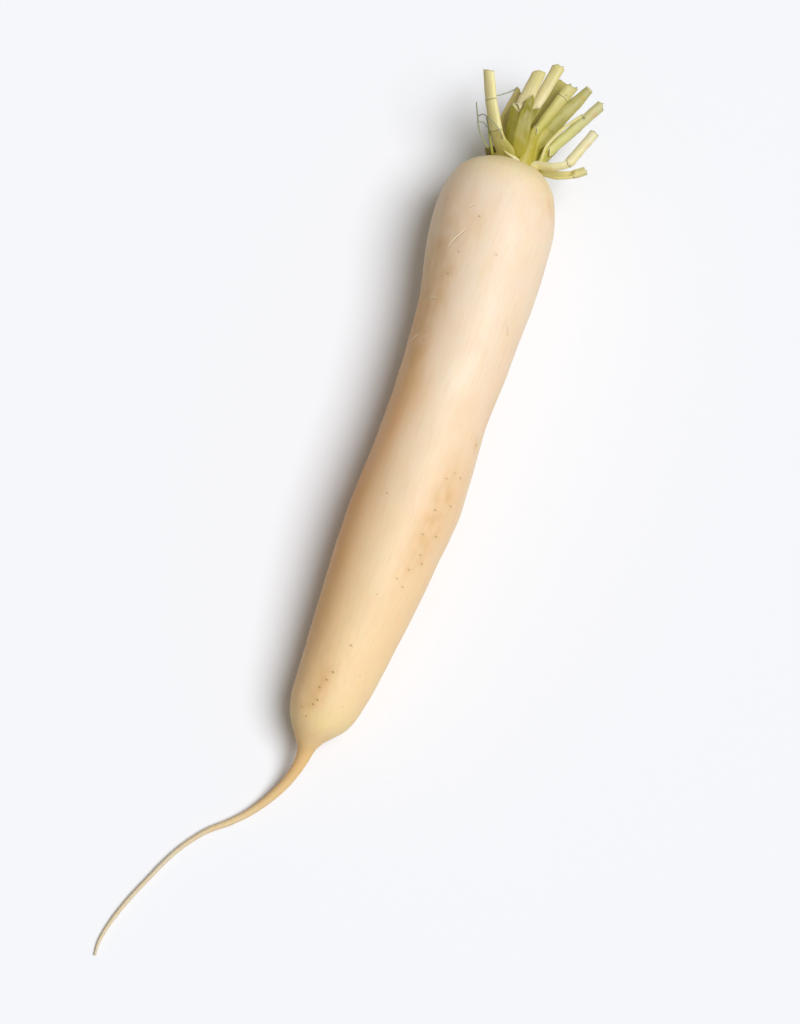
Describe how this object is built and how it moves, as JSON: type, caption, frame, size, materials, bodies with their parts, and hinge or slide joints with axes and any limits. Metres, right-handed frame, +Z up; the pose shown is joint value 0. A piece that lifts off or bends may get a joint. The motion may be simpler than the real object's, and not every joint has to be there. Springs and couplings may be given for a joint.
{
  "type": "daikon radish",
  "caption": "Daikon radish lying on its side: a long pale storage root with a slight waist, a thin whip tail, and a fan of cut green and pale leaf stalks on the crown.",
  "frame": {"origin": "on the surface the radish lies on, under the middle of its bounding box", "axes": "+X along the root from the whip tail to the crown, +Y to the root's left as seen from above with the crown ahead, +Z up"},
  "size_m": [0.5622, 0.1226, 0.0705],
  "materials": {
    "root_skin": "smooth, moist, satin vegetable skin",
    "stalk_green": "smooth, finely ribbed, satin leaf stalk",
    "stalk_pale": "smooth, finely ribbed, satin leaf stalk",
    "withered_leaf": "dry, matt, wrinkled",
    "leaf_fibre": "thin, stringy, matt"
  },
  "bodies": {
    "root": {"root": "root_skin", "leaf_stalk_01": "stalk_pale", "leaf_stalk_02": "stalk_pale", "leaf_stalk_03": "stalk_pale", "leaf_stalk_04": "stalk_green", "leaf_stalk_05": "stalk_pale", "leaf_stalk_06": "stalk_green", "leaf_stalk_07": "stalk_green", "leaf_stalk_08": "stalk_pale", "leaf_stalk_09": "stalk_green", "leaf_stalk_10": "stalk_pale", "leaf_stalk_11": "stalk_pale", "leaf_stalk_12": "stalk_green", "leaf_stalk_13": "stalk_green", "leaf_stalk_14": "stalk_green", "leaf_stalk_15": "stalk_pale", "heart_bud": "stalk_green", "young_stalk": "stalk_green", "withered_stub": "withered_leaf", "forked_thread": "leaf_fibre", "peeled_thread": "leaf_fibre"}
  },
  "joints": []
}
